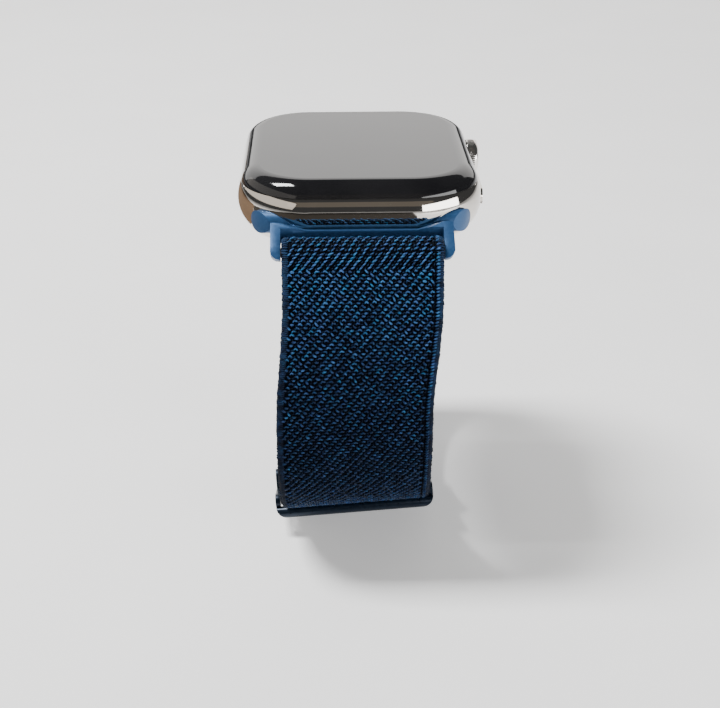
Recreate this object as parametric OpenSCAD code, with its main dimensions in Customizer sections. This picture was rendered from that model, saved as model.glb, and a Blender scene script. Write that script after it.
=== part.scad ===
// Wrist-worn activity tracker: polished case with a domed glass, a crown and a side button,
// on a woven elastic band that closes through a three-bar slider under the wrist.
// +X is the crown side, +Y the 12 o'clock end, +Z out of the display.
// The origin is the centre of the flat of the back crystal, where it meets the wrist.

/* [Case] */
// Width of the case across the wrist's length, without the crown
case_w = 38; // [37.6:0.2:38.4]
// Length of the case, from its 6 o'clock end to its 12 o'clock end
case_l = 45; // [44.8:0.2:45.6]
// Corner radius of the case seen from above
corner_r = 11.5; // [11.3:0.1:11.7]
// Height at which the metal of the case starts
metal_z = 1.4; // [1.38:0.01:1.42]
// Height of the rim that the glass sits on
rim_z = 8.9; // [8.85:0.01:8.9]
// Radius of the barrel curve of the metal wall
wall_curve_r = 6; // [5.9:0.05:6.1]
// Radius of the curved edge of the glass
glass_edge_r = 3; // [2.9:0.05:3.05]
// Thickness of the gasket under the glass
gasket_t = 0.1; // [0.1:0.02:0.14]

/* [Crown] */
// Distance of the crown from the middle of the case, towards 12 o'clock
crown_y = 9.5; // [9.3:0.1:9.7]
// Height of the crown's axis
crown_z = 5.9; // [5.86:0.02:5.92]
// Radius of the crown's knurled rim
crown_r = 3.05; // [2.95:0.05:3.05]

/* [Side button] */
// Distance of the side button from the middle of the case, towards 6 o'clock
button_y = 7.5; // [7.3:0.1:7.6]
// Length of the side button
button_l = 10; // [9:0.2:10]
// Height of the side button
button_h = 2.6; // [2.2:0.1:2.6]

/* [Band lugs] */
// Radius of the rod that slides in the case
lug_r = 1.7; // [1.66:0.01:1.72]
// Running clearance of the lug in its groove
lug_gap = 0.06; // [0.05:0.01:0.08]
// Distance of the groove from the middle of the case
lug_y = 20.2; // [20.15:0.05:20.25]
// Height of the groove
lug_z = 5; // [4.98:0.01:5.02]
// Distance of the strap pin from the middle of the case
pin_y = 26.2; // [26.1:0.1:26.4]
// Height of the strap pin
pin_z = 2.2; // [2.1:0.1:2.3]
// Radius of the strap pin
pin_r = 0.75; // [0.7:0.05:0.75]

/* [Band] */
// Width of the webbing
strap_w = 24; // [23:0.5:24]
// Thickness of the webbing
strap_t = 1.4; // [1.3:0.05:1.4]
// Gap between two layers of webbing
layer_gap = 0.1; // [0.1:0.01:0.14]
// Radius of the band's run under the wrist, to the middle of the webbing
under_r = 40; // [39.5:0.5:41]
// Radius of the band's lower corners
low_corner_r = 22; // [21:0.5:23]
// Height of the middle of the webbing at the lowest point of the band
band_low_z = -48.3; // [-49.3:0.5:-47.8]
// Roll of the lower half of the band, which follows the taper of the wrist
band_roll = 4.3; // [0:0.1:5]
// Sideways offset of the lower half of the band
band_shift = -0.5; // [-0.8:0.1:0]

/* [Slider] */
// Where the slider rests on the band, in degrees from the lowest point, towards 6 o'clock
slider_at = 12.5; // [11.5:0.5:13]
// Angle from the slider's middle bar to each outer bar
bar_step = 9.8; // [9.5:0.1:10.2]
// Radius of the slider's outer bars
outer_bar_r = 1; // [0.9:0.05:1.05]
// Radius of the slider's middle bar
middle_bar_r = 0.8; // [0.75:0.05:0.8]
// Thickness of the slider's side rails
rail_t = 0.75; // [0.65:0.05:0.85]
// How far the slider sits off the middle of the band
slider_shift = -0.3; // [-0.3:0.1:0.3]

/* [Hidden] */
$fn = 96;
e = 0.02;

// Case levels
plate_top_z = 2.3;
deck_z = 3.2;
display_floor_z = 7.2;
glass_z = rim_z + gasket_t;
metal_bulge_z = 6.2;
glass_arc_z = 8.35;
cavity = [30.4, 34, 6];
plate = [31.6, 36, 9];
pocket = [34.9, 41.9, 9.95];
wall_x = cavity[0] / 2;
crystal_r = 13.5;
crystal_flat_r = 7;
sensor_r = 11.5;
release_y = 15.6;
screw_at = [13.4, -12.6];
flare_z = 5.7;
flare_curve_r = 5.5;
flare_curve_y = lug_y + 3.1;

// Webbing path, in the plane across the wrist
corner_start = 30;
under_c = [0, band_low_z + under_r];
corner_c = [(under_r - low_corner_r) * sin(corner_start),
            under_c[1] - (under_r - low_corner_r) * cos(corner_start)];
side_y = corner_c[0] + low_corner_r;
wrap_r = pin_r + 0.08 + strap_t / 2;
side_dy = side_y - pin_y;
side_dz = pin_z - corner_c[1];
side_r = (side_dy * side_dy + side_dz * side_dz - wrap_r * wrap_r) / (2 * (side_dy - wrap_r));
side_c = [side_y - side_r, corner_c[1]];
wrap_start = 90 + atan((pin_z - side_c[1]) / (pin_y - side_c[0]));
layer_step = strap_t + layer_gap;
roll_pivot_z = band_low_z;
rigid_h = 6;
split_at = 42;

// Slider, around the centre of the band's run under the wrist
end_wrap_r = middle_bar_r + 0.08 + strap_t / 2;
middle_bar_at = under_r - layer_step - end_wrap_r;
outer_bar_at = under_r + strap_t / 2 + 0.1 + outer_bar_r;
rail_x = strap_w / 2 + 0.45;
rail_at = under_r - 0.2;
rail_h = 2.2;

// ---- shared shapes ----

// Rounded rectangle, size = [width, length, corner radius]
module plan(size) {
    inner = [size[0] - 2 * size[2], size[1] - 2 * size[2]];
    square([size[0], inner[1]], center = true);
    square([inner[0], size[1]], center = true);
    for (sx = [-1, 1], sy = [-1, 1])
        translate([sx * inner[0] / 2, sy * inner[1] / 2])
            circle(size[2]);
}

module slab(size, z0, z1) {
    translate([0, 0, z0])
        linear_extrude(z1 - z0)
            plan(size);
}

module box(low, high) {
    translate(low)
        cube(high - low);
}

// Cylinder along X from x0 to x1
module rod(r, x0, x1, y, z) {
    translate([x0, y, z])
        rotate([0, 90, 0])
            cylinder(r = r, h = x1 - x0);
}

// Stadium in the YZ plane from x0 to x1
module capsule(length, height, x0, x1, y, z) {
    box([x0, y - (length - height) / 2, z - height / 2], [x1, y + (length - height) / 2, z + height / 2]);
    for (s = [-1, 1])
        rod(height / 2, x0, x1, y + s * (length - height) / 2, z);
}

// A side profile carried round the case, with a solid core
module swept(z0, z1) {
    inner = [case_w - 2 * corner_r, case_l - 2 * corner_r];
    box([-inner[0] / 2, -inner[1] / 2, z0], [inner[0] / 2, inner[1] / 2, z1]);
    for (k = [0:3]) {
        reach = inner[k % 2] / 2;
        run = inner[(k + 1) % 2];
        rotate([0, 0, 90 * k])
            translate([reach, 0, 0]) {
                translate([0, run / 2, 0])
                    rotate([90, 0, 0])
                        linear_extrude(run)
                            children();
                translate([0, run / 2, 0])
                    rotate_extrude(angle = 90)
                        children();
            }
    }
}

module metal_profile() {
    arc_x = corner_r - wall_curve_r;
    intersection() {
        translate([0, metal_z])
            square([corner_r + 1, rim_z - metal_z]);
        union() {
            square([arc_x, rim_z]);
            translate([arc_x, metal_bulge_z])
                circle(wall_curve_r);
        }
    }
}

module glass_profile() {
    arc_x = corner_r - 3.6;
    top = glass_arc_z + glass_edge_r;
    intersection() {
        translate([0, glass_z])
            square([corner_r, top - glass_z]);
        union() {
            square([arc_x, top]);
            translate([arc_x, glass_arc_z])
                circle(glass_edge_r);
        }
    }
}

// ---- case ----

module lug_groove() {
    mouth_z = [2.7, 4.6];
    rod(lug_r + lug_gap, -case_w, case_w, -lug_y, lug_z);
    box([-case_w, -case_l, mouth_z[0]], [case_w, -lug_y, mouth_z[1]]);
}

module motor_boss() {
    for (s = [-1, 1])
        on_side(s) {
            translate([screw_at[0], screw_at[1], plate_top_z])
                cylinder(r = 1.3, h = deck_z - plate_top_z);
            box([screw_at[0], screw_at[1] - 0.8, plate_top_z], [wall_x + 0.5, screw_at[1] + 0.8, deck_z]);
        }
}

// The left half mirrored from the right
module on_side(s) {
    if (s > 0)
        children();
    else
        mirror([1, 0, 0])
            children();
}

module case_body() {
    color([0.78, 0.77, 0.74]) {
        difference() {
            swept(metal_z, rim_z)
                metal_profile();
            slab(cavity, plate_top_z - e, display_floor_z + e);
            slab(plate + [0.1, 0.1, 0.05], metal_z - 1, plate_top_z);
            slab(pocket, display_floor_z, rim_z + 1);
            lug_groove();
            mirror([0, 1, 0])
                lug_groove();
            rod(crown_r + 0.3, 17.8, case_w, crown_y, crown_z);
            rod(2.2, wall_x - 1, 18, crown_y, crown_z);
            capsule(button_l + 0.12, button_h + 0.12, 17.1, case_w, -button_y, crown_z);
            rod(0.75, wall_x - 1, 17.5, -button_y, crown_z);
            for (y = [4.2, 9.8])
                capsule(4.4, 1.1, -case_w, -wall_x + 1, y, crown_z);
            rod(0.4, -case_w, -wall_x + 1, -6, crown_z);
        }
        difference() {
            motor_boss();
            for (s = [-1, 1])
                translate([s * screw_at[0], screw_at[1], plate_top_z + 0.1])
                    cylinder(r = 0.43, h = 2);
        }
    }
}

module cover_glass() {
    color([0.10, 0.10, 0.10])
        swept(glass_z, glass_arc_z + glass_edge_r)
            glass_profile();
}

module glass_gasket() {
    color([0.03, 0.03, 0.03])
        difference() {
            slab([36.4, 43.4, 10.7], rim_z, glass_z);
            slab(pocket, rim_z - 1, glass_z + 1);
        }
}

module display_panel() {
    color([0.02, 0.02, 0.03])
        slab([33.6, 40.6, 9.3], 8.2, glass_z);
}

module display_board() {
    color([0.05, 0.25, 0.15])
        box([-11, -15, 7.3], [11, -4, 8.2]);
}

module display_flex() {
    color([0.75, 0.45, 0.15])
        box([6, -9.85, 3.9], [11, -9.65, 7.3]);
}

// ---- back and sensors ----

module back_plate() {
    color([0.06, 0.06, 0.07])
        difference() {
            slab(plate, metal_z, plate_top_z);
            translate([0, 0, metal_z - 1])
                cylinder(r = crystal_r + 0.03, h = 3);
            for (s = [-1, 1])
                slab_at([4.5, 1.9, 0.94], [0, s * release_y], metal_z - 1, plate_top_z + 1);
        }
}

// A slab moved to a place in the plan
module slab_at(size, place, z0, z1) {
    translate([place[0], place[1], 0])
        slab(size, z0, z1);
}

module back_crystal() {
    run = crystal_r - crystal_flat_r;
    rise = 1.1;
    dome_r = (run * run + rise * rise) / (2 * rise);
    color([0.05, 0.05, 0.06])
        difference() {
            rotate_extrude()
                intersection() {
                    square([crystal_r, plate_top_z]);
                    union() {
                        square([crystal_flat_r, plate_top_z]);
                        translate([crystal_flat_r, dome_r])
                            circle(dome_r);
                    }
                }
            translate([0, 0, 0.95])
                cylinder(r = sensor_r + 0.1, h = 3);
        }
}

// Places of the optical windows: green and red emitters near the centre, diodes round them
module emitter_places() {
    for (k = [0:3])
        rotate([0, 0, 90 * k])
            translate([3.1, 0, 0])
                children();
}

module diode_places() {
    for (k = [0:3])
        rotate([0, 0, 45 + 90 * k])
            translate([7.6, 0, 0])
                children();
}

module optical_barrier() {
    color([0.02, 0.02, 0.02])
        difference() {
            translate([0, 0, 0.97])
                cylinder(r = sensor_r, h = 0.68);
            emitter_places()
                cylinder(r = 1.2, h = 3);
            diode_places()
                box([-1.6, -1.6, 0], [1.6, 1.6, 3]);
        }
}

module light_emitters() {
    color([0.2, 0.7, 0.35])
        emitter_places()
            box([-0.7, -0.7, 1.05], [0.7, 0.7, 1.65]);
}

module photodiodes() {
    color([0.12, 0.12, 0.16])
        diode_places()
            box([-1.4, -1.4, 1.05], [1.4, 1.4, 1.65]);
}

module sensor_board() {
    color([0.05, 0.25, 0.15])
        translate([0, 0, 1.65])
            cylinder(r = sensor_r, h = 0.6);
}

module charging_coil() {
    color([0.72, 0.42, 0.2])
        difference() {
            translate([0, 0, 2.4])
                cylinder(r = 11.2, h = 0.5);
            cylinder(r = 7.2, h = 5);
        }
}

module alignment_magnet() {
    color([0.6, 0.6, 0.62])
        translate([0, 0, 2.4])
            cylinder(r = 4.8, h = 0.7);
}

// ---- inside ----

module battery() {
    color([0.15, 0.15, 0.17])
        box([-8.2, -9.6, deck_z], [5.2, 16.6, 6.9]);
}

module logic_board() {
    color([0.05, 0.25, 0.15])
        box([5.5, -9.6, deck_z], [12, 16.2, 3.9]);
}

module system_package() {
    color([0.55, 0.55, 0.57])
        box([5.8, -9.2, 3.9], [11.8, 5.2, 6.3]);
}

module haptic_motor() {
    color([0.5, 0.5, 0.52])
        difference() {
            union() {
                box([-10.4, -16.7, deck_z], [10.4, -9.9, 6.9]);
                box([-14.2, -13.8, deck_z], [14.2, -11.3, 3.9]);
            }
            for (s = [-1, 1])
                translate([s * screw_at[0], screw_at[1], deck_z - 1])
                    cylinder(r = 0.45, h = 3);
        }
}

module motor_screws() {
    color([0.7, 0.7, 0.72])
        for (s = [-1, 1])
            translate([s * screw_at[0], screw_at[1], 0]) {
                translate([0, 0, 3.9])
                    cylinder(r = 0.8, h = 0.5);
                translate([0, 0, 2.5])
                    cylinder(r = 0.41, h = 1.5);
            }
}

module speaker() {
    color([0.12, 0.12, 0.12])
        box([-15, 2, deck_z], [-8.5, 11.4, 6.9]);
}

module speaker_mesh() {
    color([0.2, 0.2, 0.2])
        for (y = [4.2, 9.8])
            capsule(4.36, 1.06, -17.4, -17.2, y, crown_z);
}

module microphone() {
    color([0.7, 0.6, 0.35])
        box([-15, -7.2, 4.9], [-12.9, -4.8, 6.9]);
}

// ---- crown ----

module crown_tube() {
    color([0.7, 0.7, 0.72])
        difference() {
            rod(2.2, wall_x, 17.45, crown_y, crown_z);
            rod(1.25, wall_x - 1, 18, crown_y, crown_z);
            rod(1.7, 16, 16.6, crown_y, crown_z);
        }
}

module crown_seal() {
    color([0.03, 0.03, 0.03])
        difference() {
            rod(1.68, 16.05, 16.55, crown_y, crown_z);
            rod(1.22, 15, 18, crown_y, crown_z);
        }
}

module crown_stem() {
    color([0.7, 0.7, 0.72])
        rod(1.2, 12.62, 18.3, crown_y, crown_z);
}

module crown_cap() {
    teeth = 40;
    color([0.8, 0.8, 0.8])
        difference() {
            union() {
                rod(2.7, 18.1, 18.45, crown_y, crown_z);
                rod(crown_r, 18.45, 20.1, crown_y, crown_z);
                rod(crown_r - 0.35, 20.1, 20.5, crown_y, crown_z);
            }
            rod(1.2, 18, 18.3, crown_y, crown_z);
            for (k = [0:teeth - 1])
                translate([0, crown_y, crown_z])
                    rotate([360 / teeth * k, 0, 0])
                        box([18.75, crown_r - 0.12, -0.08], [19.8, crown_r + 1, 0.08]);
        }
}

module crown_clip() {
    color([0.6, 0.6, 0.62])
        difference() {
            rod(1.8, wall_x - 0.5, wall_x - 0.05, crown_y, crown_z);
            rod(1.2, 10, 20, crown_y, crown_z);
        }
}

module encoder_wheel() {
    color([0.1, 0.1, 0.1])
        difference() {
            rod(1.85, 13.3, 14.4, crown_y, crown_z);
            rod(1.2, 10, 20, crown_y, crown_z);
        }
}

module crown_encoder() {
    color([0.1, 0.1, 0.12])
        box([12.9, crown_y - 1.2, deck_z], [14.6, crown_y + 0.6, 3.9]);
}

module crown_thrust_plate() {
    color([0.65, 0.65, 0.67])
        box([12.25, crown_y - 1.6, crown_z - 1.6], [12.6, crown_y + 1.6, crown_z + 1.6]);
}

module crown_spring() {
    color([0.75, 0.75, 0.7])
        rod(1.2, 11.9, 12.25, crown_y, crown_z);
}

module crown_switch() {
    color([0.2, 0.2, 0.22])
        box([10.6, crown_y - 1.5, crown_z - 1.9], [11.9, crown_y + 1.5, crown_z + 1.3]);
}

// ---- side button ----

module side_button() {
    color([0.78, 0.77, 0.74]) {
        capsule(button_l, button_h, 17.5, 19.15, -button_y, crown_z);
        rod(0.7, 14.52, 17.6, -button_y, crown_z);
    }
}

module side_button_clip() {
    color([0.6, 0.6, 0.62])
        difference() {
            rod(1.2, wall_x - 0.5, wall_x - 0.05, -button_y, crown_z);
            rod(0.7, 10, 20, -button_y, crown_z);
        }
}

module side_button_spring() {
    color([0.75, 0.75, 0.7])
        rod(0.9, 14.1, 14.5, -button_y, crown_z);
}

module side_button_switch() {
    color([0.2, 0.2, 0.22])
        box([12.3, -button_y - 1.5, crown_z - 1.5], [14.1, -button_y + 1.5, crown_z + 1.3]);
}

// ---- band release buttons ----

module release_button(side) {
    color([0.2, 0.2, 0.21]) {
        slab_at([4.4, 1.8, 0.89], [0, side * release_y], metal_z, plate_top_z + 0.1);
        slab_at([5.6, 2.6, 0.5], [0, side * release_y], plate_top_z + 0.05, 2.65);
    }
}

module release_spring(side) {
    color([0.75, 0.75, 0.7])
        slab_at([4, 1.4, 0.3], [0, side * release_y], 2.65, 3.15);
}

module release_button_near() {
    release_button(-1);
}

module release_button_far() {
    release_button(1);
}

module release_spring_near() {
    release_spring(-1);
}

module release_spring_far() {
    release_spring(1);
}

// ---- band adapters ----

// Side view of a flare: from its top edge, clear of the case, straight down onto the arm's curve
module flare_profile(low_z, high_z) {
    centre = [flare_curve_y, high_z - flare_curve_r];
    top = [case_l / 2 + 0.2, flare_z];
    away = top - centre;
    turn = atan2(away[1], away[0]) - acos(flare_curve_r / norm(away));
    foot = centre + flare_curve_r * [cos(turn), sin(turn)];
    polygon([[top[0], low_z], top, foot, [foot[0], low_z]]);
}

// Side view of one arm: it leaves the plate level, then curves down past the strap pin
module arm_profile(low_z, high_z) {
    curve_r = flare_curve_r;
    curve_y = flare_curve_y;
    under_pin = 1.35;
    flare_profile(low_z, high_z);
    translate([lug_y + 0.6, low_z])
        square([curve_y - lug_y - 0.6, high_z - low_z]);
    intersection() {
        translate([curve_y, high_z - curve_r])
            circle(curve_r);
        polygon([
            [curve_y, low_z],
            [curve_y, high_z],
            [curve_y + curve_r, high_z],
            [curve_y + curve_r, pin_z - under_pin],
            [pin_y - 0.5, pin_z - under_pin],
            [pin_y - under_pin, pin_z - 0.9]
        ]);
    }
}

// The two arms, cut square to their curve beyond the pin, with the outer corner of each rounded
module adapter_arms(arm_x, arm_t, low_z, high_z) {
    tip_turn = 59;
    past_pin = 1.25;
    reach = 16;
    intersection() {
        for (s = [-1, 1])
            translate([s * (arm_x + arm_t / 2) - arm_t / 2, 0, 0])
                rotate([90, 0, 90])
                    linear_extrude(arm_t)
                        arm_profile(low_z, high_z);
        translate([0, pin_y, pin_z])
            rotate([-tip_turn, 0, 0])
                translate([0, past_pin - reach / 2, -reach / 2])
                    linear_extrude(reach)
                        plan([2 * (arm_x + arm_t) + 0.01, reach, arm_t - 0.1]);
    }
}

// Carries each arm's flare on towards the middle, lower and lower, down to the plate
module inner_flares(arm_x, plate_y, corner_y, low_z, high_z) {
    inner_x = arm_x - 4.2;
    corner_x = arm_x - 1.6;
    outer_x = arm_x + 0.1;
    back_y = case_l / 2 + 0.2;
    intersection() {
        translate([-outer_x, 0, 0])
            rotate([90, 0, 90])
                linear_extrude(2 * outer_x)
                    flare_profile(low_z, high_z);
        translate([0, corner_y, 0])
            rotate([90, 0, 0])
                linear_extrude(corner_y - back_y)
                    for (s = [-1, 1])
                        polygon([
                            [s * inner_x, low_z],
                            [s * inner_x, high_z],
                            [s * outer_x, flare_z],
                            [s * outer_x, low_z]
                        ]);
        translate([0, 0, low_z])
            linear_extrude(flare_z - low_z)
                for (s = [-1, 1])
                    polygon([
                        [s * inner_x, back_y],
                        [s * inner_x, plate_y],
                        [s * corner_x, corner_y],
                        [s * outer_x, corner_y],
                        [s * outer_x, back_y]
                    ]);
    }
}

// The slot that the webbing comes out of, with rounded upper corners
module webbing_slot(arm_x, from_y, to_y, top_z) {
    height = 8;
    translate([0, to_y, top_z - height / 2])
        rotate([90, 0, 0])
            linear_extrude(to_y - from_y)
                plan([2 * arm_x, height, 2]);
}

// The adapter at the 12 o'clock end; the other is its mirror image
module band_adapter() {
    arm_x = strap_w / 2 + 0.15;
    arm_t = 1.5;
    plate_y = case_l / 2 + 0.7;
    corner_y = plate_y + 0.45;
    plate_z = [2.95, 4.5];
    color([0.16, 0.32, 0.5])
        difference() {
            union() {
                intersection() {
                    slab([case_w - 1.7, case_l + 4.1, corner_r + 0.3], 0, 9);
                    rod(lug_r, -17, 17, lug_y, lug_z);
                }
                difference() {
                    union() {
                        box([-arm_x - arm_t, lug_y, plate_z[0]], [arm_x + arm_t, plate_y, plate_z[1]]);
                        for (s = [-1, 1])
                            translate([s * (arm_x - 1) - 1.1, plate_y - 1, plate_z[0] - 0.3])
                                cube([2.2, corner_y - plate_y + 1, plate_z[1] - plate_z[0] + 0.25]);
                        inner_flares(arm_x, plate_y, corner_y, plate_z[0] + 0.05, plate_z[1] - 0.05);
                    }
                    webbing_slot(arm_x, plate_y - 0.9, corner_y + 1, plate_z[1] - 0.25);
                }
                adapter_arms(arm_x, arm_t, plate_z[0] + 0.05, plate_z[1] - 0.05);
            }
            rod(pin_r + 0.02, -arm_x - 2, arm_x + 2, pin_y, pin_z);
        }
}

module strap_pin() {
    color([0.7, 0.7, 0.72])
        rod(pin_r, -strap_w / 2 - 1.2, strap_w / 2 + 1.2, pin_y, pin_z);
}

module band_adapter_near() {
    mirror([0, 1, 0])
        band_adapter();
}

module band_adapter_far() {
    band_adapter();
}

module strap_pin_near() {
    mirror([0, 1, 0])
        strap_pin();
}

module strap_pin_far() {
    strap_pin();
}

// ---- webbing ----

// The outward direction at an angle counted from straight down
function out(a) = [sin(a), -cos(a)];

// A point on the webbing's middle line for an angle of 0 to wrap_start on the 12 o'clock side
function run_point(a) =
    a < corner_start ? under_c + under_r * out(a)
    : a < 90 ? corner_c + low_corner_r * out(a)
    : side_c + side_r * out(a);

function ease(t) = let (u = min(1, max(0, t))) u * u * (3 - 2 * u);

// Rings are [y, z, outward y, outward z]. The side is 1 at 12 o'clock and -1 at 6 o'clock.
function ring(p, n, side) = [side * p[0], p[1], side * n[0], n[1]];
function run_ring(a, inset, side) = ring(run_point(a) - inset * out(a), out(a), side);
function wrap_ring(a, side) = ring([pin_y, pin_z] + wrap_r * out(a), out(a), side);

// The returning layer leaves the pin two wrap radii inside the outer layer and closes up to it
function return_inset(a, close) =
    layer_step + (2 * wrap_r - layer_step) * ease((a - wrap_start + close) / close);

// Angles at which the path has a ring
function angles(a0, a1, step) =
    let (n = ceil(abs(a1 - a0) / step)) [for (k = [0:n]) a0 + (a1 - a0) * k / n];

side_close = 5;

near_end_rings = [for (a = angles(wrap_start - side_close, wrap_start - 0.5, 0.75))
    run_ring(a, return_inset(a, side_close), -1)];
near_wrap_rings = [for (a = angles(wrap_start + 180, wrap_start, 12)) wrap_ring(a, -1)];
near_side_rings = [for (a = angles(wrap_start - 1, 91, 1.5)) run_ring(a, 0, -1)];
near_low_rings = [for (a = angles(90, corner_start, 4)) run_ring(a, 0, -1)];
under_rings = [for (a = angles(-corner_start + 2.5, corner_start - 2.5, 2.5))
    run_ring(abs(a), 0, a < 0 ? -1 : 1)];
far_low_rings = [for (a = angles(corner_start, 90, 4)) run_ring(a, 0, 1)];
far_side_rings = [for (a = angles(91, wrap_start - 1, 1.5)) run_ring(a, 0, 1)];
far_wrap_rings = [for (a = angles(wrap_start, wrap_start + 180, 12)) wrap_ring(a, 1)];
back_side_rings = [for (a = angles(wrap_start - 0.5, 91, 1)) run_ring(a, return_inset(a, side_close), 1)];
back_low_rings = [for (a = angles(90, split_at, 4)) run_ring(a, layer_step, 1)];

webbing_rings = concat(near_end_rings, near_wrap_rings, near_side_rings, near_low_rings, under_rings,
                       far_low_rings, far_side_rings, far_wrap_rings, back_side_rings, back_low_rings);

// The sewn end runs under the wrist, round the slider's middle bar and back on itself
function end_bar() = under_c + middle_bar_at * out(-slider_at);
end_close = 13;
end_low_rings = [for (a = angles(split_at - 0.6, corner_start, 4)) run_ring(a, layer_step, 1)];
end_under_rings = [for (a = angles(corner_start - 2.5, -slider_at + 1, 2.5))
    run_ring(abs(a), layer_step, a < 0 ? -1 : 1)];
end_wrap_rings = [for (a = angles(-slider_at, -slider_at - 180, 12))
    let (p = end_bar() + end_wrap_r * out(a)) [p[0], p[1], out(a)[0], out(a)[1]]];
end_tail_rings = [for (a = angles(-slider_at + 1, -slider_at + end_close, 2))
    let (t = ease((a + slider_at) / end_close),
         r = middle_bar_at - end_wrap_r + t * (2 * end_wrap_r - layer_step),
         p = under_c + r * out(a)) [p[0], p[1], -out(a)[0], -out(a)[1]]];
end_rings = concat(end_low_rings, end_under_rings, end_wrap_rings, end_tail_rings);

// How much of the roll a height has: all of it under the wrist, none at the pins
function roll_share(z) = ease((pin_z - 6 - z) / (pin_z - 6 + 24));

// The roll swings the run under the wrist as one piece, and fades out above it
function swing(h) = h < rigid_h ? h : rigid_h + 5 * (1 - exp((rigid_h - h) / 5));

function rolled(p, z) =
    let (f = roll_share(z), a = band_roll * f, h = p[2] - roll_pivot_z)
    [p[0] * cos(a) - swing(h) * sin(a) + band_shift * f, p[1],
     roll_pivot_z + p[0] * sin(a) + h * cos(a)];

// A flat strap swept along rings: four corners to a ring
module strap(rings) {
    n = len(rings);
    corners = [for (g = rings, c = [[-1, -1], [1, -1], [1, 1], [-1, 1]])
        rolled([c[0] * strap_w / 2,
                g[0] + c[1] * g[2] * strap_t / 2,
                g[1] + c[1] * g[3] * strap_t / 2], g[1])];
    sides = [for (i = [0:n - 2], j = [0:3])
        let (a = 4 * i + j, b = 4 * i + (j + 1) % 4)
        each [[a, b, b + 4], [a, b + 4, a + 4]]];
    ends = [[0, 2, 1], [0, 3, 2], [4 * n - 4, 4 * n - 3, 4 * n - 2], [4 * n - 4, 4 * n - 2, 4 * n - 1]];
    polyhedron(corners, concat(sides, ends));
}

module webbing() {
    color([0.07, 0.16, 0.28])
        strap(webbing_rings);
}

module webbing_end() {
    color([0.07, 0.16, 0.28])
        strap(end_rings);
}

// ---- slider ----

// Places its children in the frame of the rolled run under the wrist, with the angle
// from straight down turned towards 6 o'clock
module under_frame() {
    translate([band_shift, 0, roll_pivot_z])
        rotate([0, -band_roll, 0])
            translate([slider_shift, 0, under_c[1] - roll_pivot_z])
                rotate([-slider_at, 0, 0])
                    children();
}

// A bar along X at a radius and an angle from the slider's middle
module slider_bar(r, reach, angle, half) {
    rotate([angle, 0, 0])
        rod(r, -half, half, 0, -reach);
}

// An outer bar, with its ends rounded off towards the rails
module outer_bar(angle, half) {
    block = 10;
    intersection() {
        slider_bar(outer_bar_r, outer_bar_at, angle, half);
        rotate([angle, 0, 0])
            translate([0, block / 2, block / 2 - outer_bar_at - outer_bar_r])
                rotate([90, 0, 0])
                    linear_extrude(block)
                        plan([2 * half, block, 2]);
    }
}

// A curved plate in the YZ plane between two radii, over an angle each way
module slider_web(r0, r1, angle) {
    rotate([0, 90, 0])
        rotate([0, 0, -angle])
            rotate_extrude(angle = 2 * angle)
                translate([r0, 0])
                    square([r1 - r0, rail_t]);
}

// A round end to a rail
module slider_disc(r, reach, angle) {
    rotate([angle, 0, 0])
        rod(r, 0, rail_t, 0, -reach);
}

module slider_buckle() {
    half = rail_x + rail_t;
    color([0.04, 0.07, 0.13])
        under_frame() {
            slider_bar(middle_bar_r, middle_bar_at, 0, half);
            for (s = [-1, 1]) {
                outer_bar(s * bar_step, half);
                translate([s > 0 ? rail_x : -half, 0, 0]) {
                    slider_web(rail_at - rail_h / 2, rail_at + rail_h / 2, bar_step);
                    slider_web(middle_bar_at, rail_at, 2);
                    slider_disc(rail_h / 2, rail_at, bar_step);
                    slider_disc(rail_h / 2, rail_at, -bar_step);
                    slider_disc(1.25, middle_bar_at, 0);
                }
            }
        }
}

case_body();
cover_glass();
glass_gasket();
display_panel();
display_board();
display_flex();
back_plate();
back_crystal();
optical_barrier();
light_emitters();
photodiodes();
sensor_board();
charging_coil();
alignment_magnet();
battery();
logic_board();
system_package();
haptic_motor();
motor_screws();
speaker();
speaker_mesh();
microphone();
crown_tube();
crown_seal();
crown_encoder();
crown_switch();
crown_spring();
crown_thrust_plate();
crown_cap();
crown_stem();
crown_clip();
encoder_wheel();
side_button();
side_button_clip();
side_button_switch();
side_button_spring();
release_button_near();
release_button_far();
release_spring_near();
release_spring_far();
band_adapter_near();
band_adapter_far();
strap_pin_near();
strap_pin_far();
webbing();
slider_buckle();
webbing_end();
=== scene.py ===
import math

import bmesh
import bpy
import numpy as np
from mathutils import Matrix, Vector


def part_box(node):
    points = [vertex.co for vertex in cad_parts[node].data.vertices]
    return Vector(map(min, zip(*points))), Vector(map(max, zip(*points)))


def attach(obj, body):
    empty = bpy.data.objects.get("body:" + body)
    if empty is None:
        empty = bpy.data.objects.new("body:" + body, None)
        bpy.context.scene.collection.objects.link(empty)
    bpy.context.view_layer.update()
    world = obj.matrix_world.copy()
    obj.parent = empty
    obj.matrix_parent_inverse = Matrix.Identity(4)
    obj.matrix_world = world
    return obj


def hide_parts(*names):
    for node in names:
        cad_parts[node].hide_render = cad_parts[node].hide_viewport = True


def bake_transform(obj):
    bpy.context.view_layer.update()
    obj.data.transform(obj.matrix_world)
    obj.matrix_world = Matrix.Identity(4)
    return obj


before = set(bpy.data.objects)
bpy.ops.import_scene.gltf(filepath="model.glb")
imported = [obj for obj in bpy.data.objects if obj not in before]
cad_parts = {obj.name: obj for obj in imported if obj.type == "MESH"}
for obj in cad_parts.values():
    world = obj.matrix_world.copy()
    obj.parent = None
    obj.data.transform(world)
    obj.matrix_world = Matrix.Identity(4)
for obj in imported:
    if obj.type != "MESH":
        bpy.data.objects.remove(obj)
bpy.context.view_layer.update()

MM = 0.001
rng = np.random.default_rng(7)

# The weave, in mm: between stitches in a row, between rows, and between the ribs of the two edges
COLUMN, ROW, RIB = 1.215, 0.517, 0.3


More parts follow.
